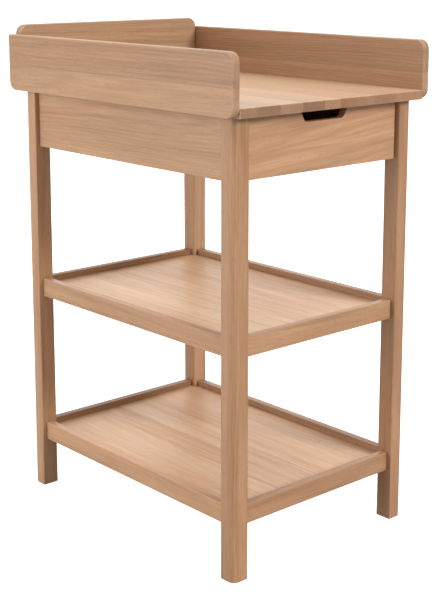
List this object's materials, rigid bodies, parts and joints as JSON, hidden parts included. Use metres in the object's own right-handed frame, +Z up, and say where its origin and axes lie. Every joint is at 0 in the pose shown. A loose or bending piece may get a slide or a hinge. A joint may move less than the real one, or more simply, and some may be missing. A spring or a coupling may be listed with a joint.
{
  "type": "changing table",
  "caption": "Wooden changing table with a walled tray top, one drawer on telescopic slides and two open framed shelves between square legs.",
  "frame": {"origin": "on the floor under the middle of the table, where the bounding box's bottom face has its centre", "axes": "+Z up; the front with the drawer faces -Y, so the drawer pulls out along -Y; +X is to the right of someone facing the front"},
  "size_m": [0.536, 0.726, 1.042],
  "materials": {
    "oak": "oiled oak, satin",
    "oak_panel": "panel glued up from oak staves, oiled, satin",
    "birch": "birch, clear lacquer",
    "zinc_plated_steel": "rolled steel sheet, zinc plated"
  },
  "bodies": {
    "frame": {"leg_front_left": "oak", "leg_front_right": "oak", "leg_rear_left": "oak", "leg_rear_right": "oak", "changing_top": "oak_panel", "tray_wall_left": "oak", "tray_wall_right": "oak", "tray_wall_back": "oak", "apron_left": "oak", "apron_right": "oak", "apron_back": "oak", "upper_shelf_panel": "oak_panel", "upper_shelf_rail_front": "oak", "upper_shelf_rail_back": "oak", "upper_shelf_rail_left": "oak", "upper_shelf_rail_right": "oak", "lower_shelf_panel": "oak_panel", "lower_shelf_rail_front": "oak", "lower_shelf_rail_back": "oak", "lower_shelf_rail_left": "oak", "lower_shelf_rail_right": "oak", "slide_batten_left": "oak", "slide_batten_right": "oak", "slide_outer_left": "zinc_plated_steel", "slide_outer_right": "zinc_plated_steel", "slide_screw_frame_left_front": "zinc_plated_steel", "slide_screw_frame_left_rear": "zinc_plated_steel", "slide_screw_frame_right_front": "zinc_plated_steel", "slide_screw_frame_right_rear": "zinc_plated_steel"},
    "drawer": {"drawer_front": "oak", "drawer_side_left": "birch", "drawer_side_right": "birch", "drawer_back": "birch", "drawer_bottom": "birch", "slide_inner_left": "zinc_plated_steel", "slide_inner_right": "zinc_plated_steel", "slide_screw_drawer_left_front": "zinc_plated_steel", "slide_screw_drawer_left_rear": "zinc_plated_steel", "slide_screw_drawer_right_front": "zinc_plated_steel", "slide_screw_drawer_right_rear": "zinc_plated_steel"},
    "slide_middle_left": {"slide_middle_left": "zinc_plated_steel"},
    "slide_middle_right": {"slide_middle_right": "zinc_plated_steel"}
  },
  "joints": [
    {"name": "drawer_travel", "type": "slide", "parent": "frame", "child": "drawer", "axis": [0, -1, 0], "range_m": [0, 0.45]},
    {"name": "slide_middle_left_travel", "type": "slide", "parent": "frame", "child": "slide_middle_left", "axis": [0, -1, 0], "range_m": [0, 0.225]},
    {"name": "slide_middle_right_travel", "type": "slide", "parent": "frame", "child": "slide_middle_right", "axis": [0, -1, 0], "range_m": [0, 0.225]}
  ],
  "couplings": [
    {"joint": "slide_middle_left_travel", "follows": "drawer_travel", "ratio": 0.5},
    {"joint": "slide_middle_right_travel", "follows": "drawer_travel", "ratio": 0.5}
  ]
}
